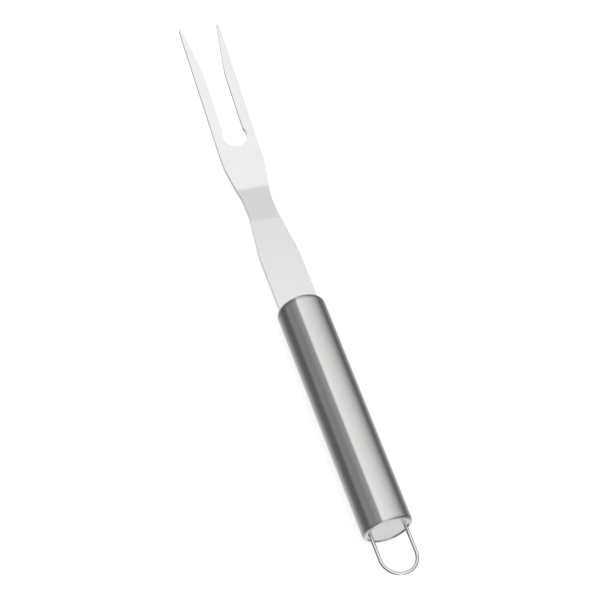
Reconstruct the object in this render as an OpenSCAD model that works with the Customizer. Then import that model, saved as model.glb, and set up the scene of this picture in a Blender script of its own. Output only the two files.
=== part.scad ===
// Barbecue fork: a stamped steel blade with two prongs, welded into a hollow round handle
// that ends in a wire loop to hang it by.
// The fork lies on its handle along X, with the prongs toward +X and bent up toward +Z.
// The origin is the middle of its length and width, on the surface that it lies on.

/* [Blade, lengths from the front face of the handle] */
// Thickness of the sheet
sheet_t = 2.2; // [1.6:0.1:3]
// Length of the blade from the handle to the points
blade_reach = 195; // [175:5:260]
// Width of the shank
shank_w = 23.6; // [20:0.2:24.4]
// Where the shank starts to narrow
shank_len = 36; // [24:1:44]
// Width of the waist
waist_w = 17; // [13:0.5:19]
// Where the waist starts
waist_from = 64; // [58:1:68]
// Where the waist ends
waist_to = 76; // [72:1:80]
// Width of the head and across the prongs
head_w = 25; // [22:0.5:30]
// Where the head reaches its full width
head_from = 100; // [92:1:104]
// Radius that blends the waist into its flanks
waist_blend_r = 40; // [10:5:60]
// Radius that blends the flanks into the head and the shank
shoulder_blend_r = 70; // [20:5:90]

/* [Prongs] */
// Width of the slot between the prongs
slot_w = 12.8; // [9:0.2:14]
// Diameter of the round hole at the root of the slot
root_hole_d = 14.8; // [14.4:0.2:18]
// Where the centre of the round hole lies
root_hole_at = 120; // [114:1:128]
// Length over which a prong tapers to its point
taper_len = 33; // [20:1:40]
// Width of a prong's blunt point
point_w = 1.4; // [1:0.1:2]

/* [Bends of the blade] */
// Where the neck bends down
neck_bend_at = 60; // [50:1:66]
// Angle of the neck below the shank
neck_drop = 2; // [0.5:0.5:4]
// Where the head bends up from the neck
head_bend_at = 84; // [78:1:90]
// Angle of the head above the shank
head_rise = 5.5; // [2:0.5:8]
// Where the prongs bend up from the head
prong_bend_at = 111; // [104:1:118]
// Angle of the prongs above the shank
prong_rise = 8.7; // [8.4:0.1:14]
// Radius of the two bends at the neck
neck_bend_r = 25; // [10:5:60]
// Radius of the bend at the root of the prongs
prong_bend_r = 90; // [40:5:120]

/* [Tang inside the handle] */
// Width of the tang
tang_w = 18; // [10:0.5:19]
// Length of the tang behind the front cap's face
tang_len = 22; // [12:1:40]

/* [Handle] */
// Outside diameter of the tube
handle_d = 28; // [27.6:0.2:34]
// Wall of the tube
tube_wall = 1; // [0.8:0.1:1.4]
// Length of the handle from its front face to the crest of its rear rim
handle_len = 144; // [110:2:180]
// Outside radius of the rim that is rolled over the end cap
rim_roll_r = 2.4; // [1.8:0.1:2.8]

/* [Front cap] */
// Radius of the cap's rounded shoulder
shoulder_r = 4.5; // [2:0.25:5]
// Thickness of the cap's face
front_face_t = 1.6; // [1.2:0.1:2.4]
// Wall of the collar inside the tube
collar_wall = 1.2; // [0.8:0.1:1.6]
// Length of the collar inside the tube
collar_len = 9; // [6:0.5:14]

/* [End cap] */
// Depth of the cap's face below the crest of the rim
face_recess = 0.5; // [0.2:0.1:0.8]
// Thickness of the cap's face
end_face_t = 1.6; // [1.2:0.1:2.4]
// Wall of the skirt inside the tube
skirt_wall = 1; // [0.8:0.1:1.4]
// Length of the skirt behind the rolled rim
skirt_len = 9; // [6:0.5:14]

/* [Hanging loop] */
// Diameter of the wire
wire_d = 2; // [1.6:0.1:2.4]
// Width of the loop between the middles of its legs
loop_w = 20.2; // [16:0.2:20.2]
// Length of the loop behind the crest of the rim
loop_out = 26; // [20:1:40]
// Length of a foot turned inward behind the end cap
foot_len = 4; // [2.6:0.2:5]

/* [Hidden] */

// Gap all round where one welded or pressed piece enters another
seat_gap = 0.05;
// Gap that shows as a dark line between the end cap's face and the rolled rim
rim_gap = 0.2;
// Gap round a leg of the loop in the end cap
leg_gap = 0.1;
// How far a cutting shape runs past what it cuts
overcut = 1;
// A blended outline turns this many degrees from point to point
arc_step = 1.5;
// but its points lie no closer than this
arc_piece = 0.3;
// Circles are round at this many facets
$fn = 96;

handle_r = handle_d / 2;
bore_r = handle_r - tube_wall;
total_len = blade_reach + handle_len + loop_out;
front_x = total_len / 2 - blade_reach;
// Place of the end cap's outer face along the handle's axis
end_face_x = -handle_len + face_recess;
// Place where the end cap's face ends inside
end_inside_x = end_face_x + end_face_t;
// Middle of the rolled rim's bend
roll_x = -handle_len + rim_roll_r;
roll_at_r = handle_r - rim_roll_r;
// The shank ends just behind the front cap's face, where the narrower tang starts
shank_end = -front_face_t - 0.4;

// Outline points

// Points of a smooth turn at corner b, between a and c, with radius r
function blend(a, b, c, r) =
    let (u = (a - b) / norm(a - b), v = (c - b) / norm(c - b))
    let (half = acos(max(-1, min(1, u * v))) / 2, turn = 180 - 2 * half)
    let (back = min(r / tan(half), 0.45 * min(norm(a - b), norm(c - b))))
    let (fit_r = back * tan(half), middle = b + (u + v) / norm(u + v) * fit_r / sin(half))
    let (from = b + u * back - middle, arc_len = PI * fit_r * turn / 180)
    let (steps = max(1, ceil(min(turn / arc_step, arc_len / arc_piece))))
    let (side = cross(b - a, c - b) > 0 ? 1 : -1)
    [for (i = [0:steps]) middle + turned(from, side * turn * i / steps)];

// Vector p turned by an angle
function turned(p, angle) =
    [p[0] * cos(angle) - p[1] * sin(angle), p[0] * sin(angle) + p[1] * cos(angle)];

// Every corner [x, y, radius] of a path, blended where its radius is over zero
function blended(path) =
    let (last = len(path) - 1)
    [for (i = [0:last])
        let (here = [path[i][0], path[i][1]])
        if (i == 0 || i == last || path[i][2] == 0) here
        else each blend([path[i - 1][0], path[i - 1][1]], here, [path[i + 1][0], path[i + 1][1]], path[i][2])];

// One side of the blade seen from above, from the end of the tang to the point of its prong
blade_side = [
    [-front_face_t - tang_len, tang_w / 2, 0],
    [shank_end, tang_w / 2, 0],
    [shank_end, shank_w / 2, 0],
    [shank_len, shank_w / 2, shoulder_blend_r],
    [waist_from, waist_w / 2, waist_blend_r],
    [waist_to, waist_w / 2, waist_blend_r],
    [head_from, head_w / 2, shoulder_blend_r],
    [blade_reach, head_w / 2, point_w / 2],
    [blade_reach, head_w / 2 - point_w, point_w / 2],
    [blade_reach - taper_len, slot_w / 2, 2 * taper_len],
    [root_hole_at, slot_w / 2, 0]
];

// The line that the middle of the sheet follows, seen from the side
function rise_at(x) =
    x <= head_bend_at ? -tan(neck_drop) * max(0, x - neck_bend_at)
    : x <= prong_bend_at ? rise_at(head_bend_at) + tan(head_rise) * (x - head_bend_at)
    : rise_at(prong_bend_at) + tan(prong_rise) * (x - prong_bend_at);

// Offset h square to the sheet at a bend between headings one and two
function bend_corner(x, h, one, two) =
    [x - h * sin((one + two) / 2) / cos((two - one) / 2), rise_at(x) + h * cos((one + two) / 2) / cos((two - one) / 2)];

// One face of the sheet seen from the side, at height h above its middle
function sheet_face(h) = blended([
    [-front_face_t - tang_len - overcut, h, 0],
    concat(bend_corner(neck_bend_at, h, 0, -neck_drop), [neck_bend_r + h]),
    concat(bend_corner(head_bend_at, h, -neck_drop, head_rise), [neck_bend_r - h]),
    concat(bend_corner(prong_bend_at, h, head_rise, prong_rise), [prong_bend_r - h]),
    [blade_reach + overcut, rise_at(blade_reach + overcut) + h / cos(prong_rise), 0]
]);

// Flat shapes

function mirrored(points) = [for (i = [len(points) - 1:-1:0]) [points[i][0], -points[i][1]]];

module blade_plan() {
    side = blended(blade_side);
    difference() {
        polygon(concat(side, mirrored(side)));
        translate([root_hole_at, 0]) circle(d = root_hole_d);
    }
}

module blade_profile() {
    top = sheet_face(sheet_t / 2);
    bottom = sheet_face(-sheet_t / 2);
    polygon(concat(top, [for (i = [len(bottom) - 1:-1:0]) bottom[i]]));
}

// Half section of a round bar from x = 0 back, with the edge of its front face rounded
module rounded_bar(radius, length, rounding) {
    difference() {
        translate([0, -length]) square([radius, length]);
        translate([radius - rounding, -rounding]) difference() {
            square(rounding + overcut);
            circle(r = rounding);
        }
    }
}

// Turns a half section about the handle's axis, with its y along the fork
module turned_about_handle() {
    rotate([0, 90, 0]) rotate_extrude() children();
}

// Sub-parts, from the handle's front face with X toward the points

module fork_blade() {
    color("gainsboro") intersection() {
        translate([0, 0, -handle_r]) linear_extrude(height = 4 * handle_r) blade_plan();
        rotate([90, 0, 0]) translate([0, 0, -head_w]) linear_extrude(height = 2 * head_w) blade_profile();
    }
}

module front_cap() {
    color("silver") difference() {
        turned_about_handle() difference() {
            rounded_bar(handle_r, shoulder_r + collar_len, shoulder_r);
            translate([bore_r - seat_gap, -shoulder_r - collar_len - overcut])
                square([tube_wall + seat_gap + overcut, collar_len + overcut]);
            translate([-overcut, -shoulder_r - collar_len - overcut])
                square([bore_r - seat_gap - collar_wall + overcut, shoulder_r + collar_len - front_face_t + overcut]);
        }
        shank_slot();
    }
}

module shank_slot() {
    slot_h = sheet_t + 2 * seat_gap;
    slot_across = shank_w + 2 * seat_gap;
    translate([shank_end - seat_gap, -slot_across / 2, -slot_h / 2])
        cube([overcut - shank_end, slot_across, slot_h]);
}

module handle_tube() {
    color("darkgray") turned_about_handle() tube_section();
}

// Half section of the tube, with its open front end up and its rolled rim down
module tube_section() {
    translate([0, -handle_len]) mirror([0, 1]) difference() {
        rounded_bar(handle_r, handle_len - shoulder_r, rim_roll_r);
        translate([0, -tube_wall]) rounded_bar(bore_r, handle_len, rim_roll_r - tube_wall);
        translate([-overcut, -tube_wall - overcut]) square([roll_at_r + overcut, tube_wall + 2 * overcut]);
    }
}

module end_cap() {
    color("lightgray") difference() {
        turned_about_handle() difference() {
            translate([0, -handle_len]) mirror([0, 1]) end_cap_outside();
            translate([-overcut, end_inside_x])
                square([bore_r - seat_gap - skirt_wall + overcut, handle_len]);
        }
        for (side = [-1, 1])
            translate([-handle_len - overcut, side * loop_w / 2, 0])
                rotate([0, 90, 0]) cylinder(d = wire_d + 2 * leg_gap, h = end_face_t + face_recess + 2 * overcut);
    }
}

// Half section of the end cap's outside, from the crest of the rim back
module end_cap_outside() {
    translate([0, -rim_roll_r - skirt_len])
        square([roll_at_r - rim_gap, rim_roll_r + skirt_len - face_recess]);
    translate([0, -tube_wall - seat_gap])
        rounded_bar(bore_r - seat_gap, rim_roll_r + skirt_len - tube_wall - seat_gap, rim_roll_r - tube_wall);
}

module hanging_loop() {
    bow_r = loop_w / 2;
    bow_x = -handle_len - loop_out + wire_d / 2 + bow_r;
    foot_bend_r = wire_d;
    leg_end = end_inside_x + wire_d / 4;
    color("whitesmoke") {
        translate([bow_x, 0, 0]) rotate([0, 0, 90]) rotate_extrude(angle = 180)
            translate([bow_r, 0]) circle(d = wire_d);
        for (side = [-1, 1]) {
            translate([bow_x, side * bow_r, 0])
                rotate([0, 90, 0]) cylinder(d = wire_d, h = leg_end - bow_x);
            translate([leg_end, side * (bow_r - foot_bend_r), 0])
                rotate([0, 0, side > 0 ? 0 : -90]) rotate_extrude(angle = 90)
                    translate([foot_bend_r, 0]) circle(d = wire_d);
            translate([leg_end + foot_bend_r, side * (bow_r - foot_bend_r), 0])
                rotate([side * 90, 0, 0]) cylinder(d = wire_d, h = foot_len - foot_bend_r);
        }
    }
}

module placed() {
    translate([front_x, 0, handle_r]) children();
}

placed() fork_blade();
placed() front_cap();
placed() handle_tube();
placed() end_cap();
placed() hanging_loop();
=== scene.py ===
import math

import bpy
from mathutils import Matrix, Vector


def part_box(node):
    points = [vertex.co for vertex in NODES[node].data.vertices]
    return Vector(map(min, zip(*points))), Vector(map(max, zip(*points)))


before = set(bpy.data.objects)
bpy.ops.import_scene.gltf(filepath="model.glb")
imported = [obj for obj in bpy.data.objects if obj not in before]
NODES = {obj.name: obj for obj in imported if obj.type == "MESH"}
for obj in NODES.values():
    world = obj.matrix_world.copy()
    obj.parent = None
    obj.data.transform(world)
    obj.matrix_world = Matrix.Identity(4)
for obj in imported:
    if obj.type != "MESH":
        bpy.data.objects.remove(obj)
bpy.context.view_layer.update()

# Height of the handle's axis above the floor, in metres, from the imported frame

TUBE_LOW, TUBE_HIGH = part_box("handle_tube")
AXIS_Z = (TUBE_HIGH.z + TUBE_LOW.z) / 2

# Camera, at the photograph's viewing angle

LENS_MM = 120
SENSOR_MM = 36
NEAREST = 0.01                       # metres in front of the camera that it leaves out
SIGHT_AT = Vector((-0.00889, -0.00164, AXIS_Z))
SIGHT_DISTANCE = 1.1099
CAMERA_TILT = math.radians(29.60)    # how far the line of sight leans toward the points
CAMERA_ROLL = math.radians(20.60)    # how far the camera stands round the handle, toward +Y
CAMERA_TURN = math.radians(21.60)    # how far the picture is turned from the fork's own line


def add_camera():
    sight = Vector((
        math.sin(CAMERA_TILT),
        -math.cos(CAMERA_TILT) * math.sin(CAMERA_ROLL),
        -math.cos(CAMERA_TILT) * math.cos(CAMERA_ROLL),
    ))
    along = Vector((1, 0, 0))
    fork_up = (along - sight * along.dot(sight)).normalized()
    fork_right = sight.cross(fork_up)
    up = fork_up * math.cos(CAMERA_TURN) + fork_right * math.sin(CAMERA_TURN)
    right = sight.cross(up)
    data = bpy.data.cameras.new("camera")
    data.lens = LENS_MM
    data.sensor_width = SENSOR_MM
    data.clip_start = NEAREST
    camera = bpy.data.objects.new("camera", data)
    turn = Matrix((right, up, -sight)).transposed().to_4x4()
    camera.matrix_world = Matrix.Translation(SIGHT_AT - sight * SIGHT_DISTANCE) @ turn
    bpy.context.scene.collection.objects.link(camera)
    bpy.context.scene.camera = camera


# Nodes of a material

MIX_FACTOR = 0     # places of the Mix node's colour sockets, which share their names with others
MIX_A = 6
MIX_B = 7
MIX_RESULT = 2
NOISE_ROUGHNESS = 0.5


class Graph:
    """A node tree that grows one node at a time and returns the sockets that it makes."""

    def __init__(self, tree):
        self.tree = tree
        self.tree.nodes.clear()

    def add(self, kind, inputs=None, output=0, **settings):
        node = self.tree.nodes.new(kind)
        for name, value in settings.items():
            setattr(node, name, value)
        for name, value in (inputs or {}).items():
            self.put(node.inputs[name], value)
        return node.outputs[output]

    def put(self, socket, value):
        if isinstance(value, bpy.types.NodeSocket):
            self.tree.links.new(value, socket)
        else:
            socket.default_value = value

    def close(self, kind, surface):
        """The tree's output node, which shows surface."""
        out = self.tree.nodes.new(kind)
        self.tree.links.new(surface, out.inputs["Surface"])

    def math(self, operation, *values):
        return self.add("ShaderNodeMath", dict(enumerate(values)), operation=operation)

    def parts(self, vector):
        return self.add("ShaderNodeSeparateXYZ", {"Vector": vector}).node.outputs

    def noise(self, vector, detail):
        inputs = {"Vector": vector, "Scale": 1.0, "Detail": detail, "Roughness": NOISE_ROUGHNESS}
        return self.add("ShaderNodeTexNoise", inputs, output="Fac")

    def ranged(self, value, low, high, to_low, to_high):
        inputs = {"Value": value, "From Min": low, "From Max": high, "To Min": to_low, "To Max": to_high}
        return self.add("ShaderNodeMapRange", inputs)

    def ramp(self, value, stops):
        """stops are (place from 0 to 1, grey level)."""
        colour = self.add("ShaderNodeValToRGB", {"Fac": value})
        elements = colour.node.color_ramp.elements
        while len(elements) < len(stops):
            elements.new(0.5)
        for element, (place, grey) in zip(elements, stops):
            element.position = place
            element.color = (grey, grey, grey, 1)
        return colour

    def bump(self, height, strength, distance):
        return self.add("ShaderNodeBump", {"Strength": strength, "Distance": distance, "Height": height})

    def mixed(self, low, high, blend):
        """A colour between two, by a blend from 0 to 1."""
        node = self.tree.nodes.new("ShaderNodeMix")
        node.data_type = "RGBA"
        self.put(node.inputs[MIX_FACTOR], blend)
        self.put(node.inputs[MIX_A], (*low, 1))
        self.put(node.inputs[MIX_B], (*high, 1))
        return node.outputs[MIX_RESULT]


def new_material(name):
    material = bpy.data.materials.new(name)
    material.use_nodes = True
    return material, Graph(material.node_tree)


def dress(piece, material):
    piece.data.materials.clear()
    piece.data.materials.append(material)


# Stage: a white floor, an even world for the camera and a light tent that the metal mirrors

WHITE = (1, 1, 1, 1)
FLOOR_SPAN = 8.0
FLOOR_COLOUR = (0.38, 0.38, 0.38, 1)    # takes the object's shadow
FLOOR_GLOW = 0.72                       # added for the camera alone, up to white
PLAIN_LIGHT = 1.0
LAMP_HEIGHT = 1.4
LAMP_SPAN = 1.6
LAMP_WATTS = 9.0

# The tent's brightness by the angle round the fork's line, in degrees from straight up toward +Y
TENT = [
    (-180, 1.00),     # white floor below
    (-145, 0.86),
    (-120, 0.42),
    (-98, 0.13),      # dark far edge of the floor
    (-84, 0.17),
    (-60, 0.55),
    (-38, 0.78),
    (-18, 0.94),
    (0, 1.02),        # soft overhead light
    (22, 1.15),
    (26, 1.15),
    (29, 0.38),       # its sharp edge
    (42, 0.36),
    (60, 0.25),
    (80, 0.31),
    (96, 0.12),       # dark far edge on the other side
    (120, 0.16),
    (140, 0.38),
    (160, 0.62),
    (180, 1.00),
]

# How the tent brightens or dims as a direction leans toward the points, by its part along +X
LEAN = [
    (0.20, 1.00),
    (0.33, 1.06),
    (0.494, 1.00),
    (0.55, 0.87),
    (0.66, 0.76),
]
HEADROOM = 2.0        # levels are divided by this in a ramp, which holds up to 1, and multiplied after


def add_floor():
    mesh = bpy.data.meshes.new("floor")
    half = FLOOR_SPAN / 2
    corners = [(-half, -half, 0), (half, -half, 0), (half, half, 0), (-half, half, 0)]
    mesh.from_pydata(corners, [], [(0, 1, 2, 3)])
    floor = bpy.data.objects.new("floor", mesh)
    bpy.context.scene.collection.objects.link(floor)
    floor.visible_glossy = False
    material, graph = new_material("floor")
    shade = graph.add("ShaderNodeBsdfDiffuse", {"Color": FLOOR_COLOUR}, output="BSDF")
    glow = graph.add("ShaderNodeEmission", {"Color": WHITE, "Strength": FLOOR_GLOW})
    both = graph.add("ShaderNodeAddShader", {0: shade, 1: glow})
    path = graph.add("ShaderNodeLightPath", output="Is Camera Ray")
    seen = graph.add("ShaderNodeMixShader", {0: path, 1: shade, 2: both})
    graph.close("ShaderNodeOutputMaterial", seen)
    dress(floor, material)


def level(graph, value, stops):
    """A ramp whose levels may pass 1."""
    lowered = graph.ramp(value, [(place, bright / HEADROOM) for place, bright in stops])
    return graph.math("MULTIPLY", lowered, HEADROOM)


def add_world():
    world = bpy.data.worlds.new("studio")
    bpy.context.scene.world = world
    world.use_nodes = True
    graph = Graph(world.node_tree)
    direction = graph.parts(graph.add("ShaderNodeTexCoord", output="Generated"))
    angle = graph.math("ARCTAN2", direction["Y"], direction["Z"])
    place = graph.ranged(angle, -math.pi, math.pi, 0, 1)
    tent = level(graph, place, [((degrees + 180) / 360, bright) for degrees, bright in TENT])
    strength = graph.math("MULTIPLY", tent, level(graph, direction["X"], LEAN))
    tent_light = graph.add("ShaderNodeBackground", {"Color": WHITE, "Strength": strength})
    plain_light = graph.add("ShaderNodeBackground", {"Color": WHITE, "Strength": PLAIN_LIGHT})
    glossy = graph.add("ShaderNodeLightPath", output="Is Glossy Ray")
    both = graph.add("ShaderNodeMixShader", {0: glossy, 1: plain_light, 2: tent_light})
    graph.close("ShaderNodeOutputWorld", both)


def add_lamp():
    data = bpy.data.lights.new("softbox", "AREA")
    data.shape = "SQUARE"
    data.size = LAMP_SPAN
    data.energy = LAMP_WATTS
    lamp = bpy.data.objects.new("softbox", data)
    lamp.location = (0, 0, LAMP_HEIGHT)
    lamp.visible_glossy = False
    bpy.context.scene.collection.objects.link(lamp)


# Metal: the share of a noise that its roughness follows, and the turn that spreads shine across a grain

GRAIN_LOW = 0.3
GRAIN_HIGH = 0.7
QUARTER_TURN = 0.25


def finish_metal(graph, colour, roughness, normal, anisotropy=0.0, tangent=None):
    inputs = {"Base Color": colour, "Metallic": 1.0, "Roughness": roughness, "Normal": normal}
    if tangent is not None:
        inputs["Anisotropic"] = anisotropy
        inputs["Anisotropic Rotation"] = QUARTER_TURN
        inputs["Tangent"] = tangent
    graph.close("ShaderNodeOutputMaterial", graph.add("ShaderNodeBsdfPrincipled", inputs))


def stretched(graph, scale):
    """Object coordinates in metres, scaled apart so that noise on them draws lines."""
    place = graph.add("ShaderNodeTexCoord", output="Object")
    return graph.add("ShaderNodeMapping", {"Vector": place, "Scale": scale})


def round_the_handle(graph):
    """The direction of a grain that runs round the handle's line."""
    return graph.add("ShaderNodeTangent", direction_type="RADIAL", axis="X")


# Satin tube and ferrule, ground in fine rings round the handle

TUBE_DARK = (0.655, 0.65, 0.64)
TUBE_LIGHT = (0.735, 0.73, 0.725)
TUBE_RINGS = (4000, 90, 90)
TUBE_CLOUD = (28, 60, 60)
TUBE_ROUGHNESS = (0.17, 0.25)
TUBE_ANISOTROPY = 0.6
TUBE_BUMP = (0.12, 0.00006)


def satin_tube():
    material, graph = new_material("satin_tube")
    rings = graph.noise(stretched(graph, TUBE_RINGS), detail=4)
    cloud = graph.noise(stretched(graph, TUBE_CLOUD), detail=2)
    colour = graph.mixed(TUBE_DARK, TUBE_LIGHT, cloud)
    roughness = graph.ranged(rings, GRAIN_LOW, GRAIN_HIGH, *TUBE_ROUGHNESS)
    bump = graph.bump(rings, *TUBE_BUMP)
    finish_metal(graph, colour, roughness, bump, TUBE_ANISOTROPY, round_the_handle(graph))
    return material


# Spun disc, turned in rings about the handle's axis

DISC_DARK = (0.62, 0.62, 0.62)
DISC_LIGHT = (0.84, 0.84, 0.84)
DISC_RINGS = 2600.0
DISC_ROUGHNESS = 0.30
DISC_ANISOTROPY = 0.5
DISC_BUMP = (0.25, 0.0001)


def spun_disc():
    material, graph = new_material("spun_disc")
    place = graph.parts(graph.add("ShaderNodeTexCoord", output="Object"))
    height = graph.math("SUBTRACT", place["Z"], AXIS_Z)
    height_squared = graph.math("MULTIPLY", height, height)
    across_squared = graph.math("MULTIPLY", place["Y"], place["Y"])
    radius = graph.math("POWER", graph.math("ADD", height_squared, across_squared), 0.5)
    angle = graph.math("ARCTAN2", place["Y"], height)
    polar = graph.add("ShaderNodeCombineXYZ", {"X": graph.math("MULTIPLY", radius, DISC_RINGS), "Y": angle})
    rings = graph.noise(polar, detail=3)
    colour = graph.mixed(DISC_DARK, DISC_LIGHT, rings)
    bump = graph.bump(rings, *DISC_BUMP)
    finish_metal(graph, colour, DISC_ROUGHNESS, bump, DISC_ANISOTROPY, round_the_handle(graph))
    return material


# Polished sheet, with faint streaks along the blade

SHEET_DARK = (0.85, 0.855, 0.865)
SHEET_LIGHT = (0.885, 0.89, 0.895)
SHEET_STREAKS = (60, 2500, 2500)
SHEET_CLOUD = (22, 40, 40)
SHEET_ROUGHNESS = (0.10, 0.15)
POLISHED_BUMP = (0.05, 0.00003)


def polished_sheet():
    material, graph = new_material("polished_sheet")
    streaks = graph.noise(stretched(graph, SHEET_STREAKS), detail=4)
    cloud = graph.noise(stretched(graph, SHEET_CLOUD), detail=2)
    colour = graph.mixed(SHEET_DARK, SHEET_LIGHT, cloud)
    roughness = graph.ranged(streaks, GRAIN_LOW, GRAIN_HIGH, *SHEET_ROUGHNESS)
    finish_metal(graph, colour, roughness, graph.bump(streaks, *POLISHED_BUMP))
    return material


# Polished wire

WIRE_DARK = (0.78, 0.78, 0.785)
WIRE_LIGHT = (0.86, 0.86, 0.865)
WIRE_CLOUD = (500, 500, 500)
WIRE_ROUGHNESS = 0.09


def polished_wire():
    material, graph = new_material("polished_wire")
    cloud = graph.noise(stretched(graph, WIRE_CLOUD), detail=2)
    colour = graph.mixed(WIRE_DARK, WIRE_LIGHT, cloud)
    finish_metal(graph, colour, WIRE_ROUGHNESS, graph.bump(cloud, *POLISHED_BUMP))
    return material


bpy.context.scene.view_settings.view_transform = "Standard"
add_camera()
add_floor()
add_world()
add_lamp()
tube_material = satin_tube()
dress(NODES["handle_tube"], tube_material)
dress(NODES["front_cap"], tube_material)
dress(NODES["end_cap"], spun_disc())
dress(NODES["fork_blade"], polished_sheet())
dress(NODES["hanging_loop"], polished_wire())
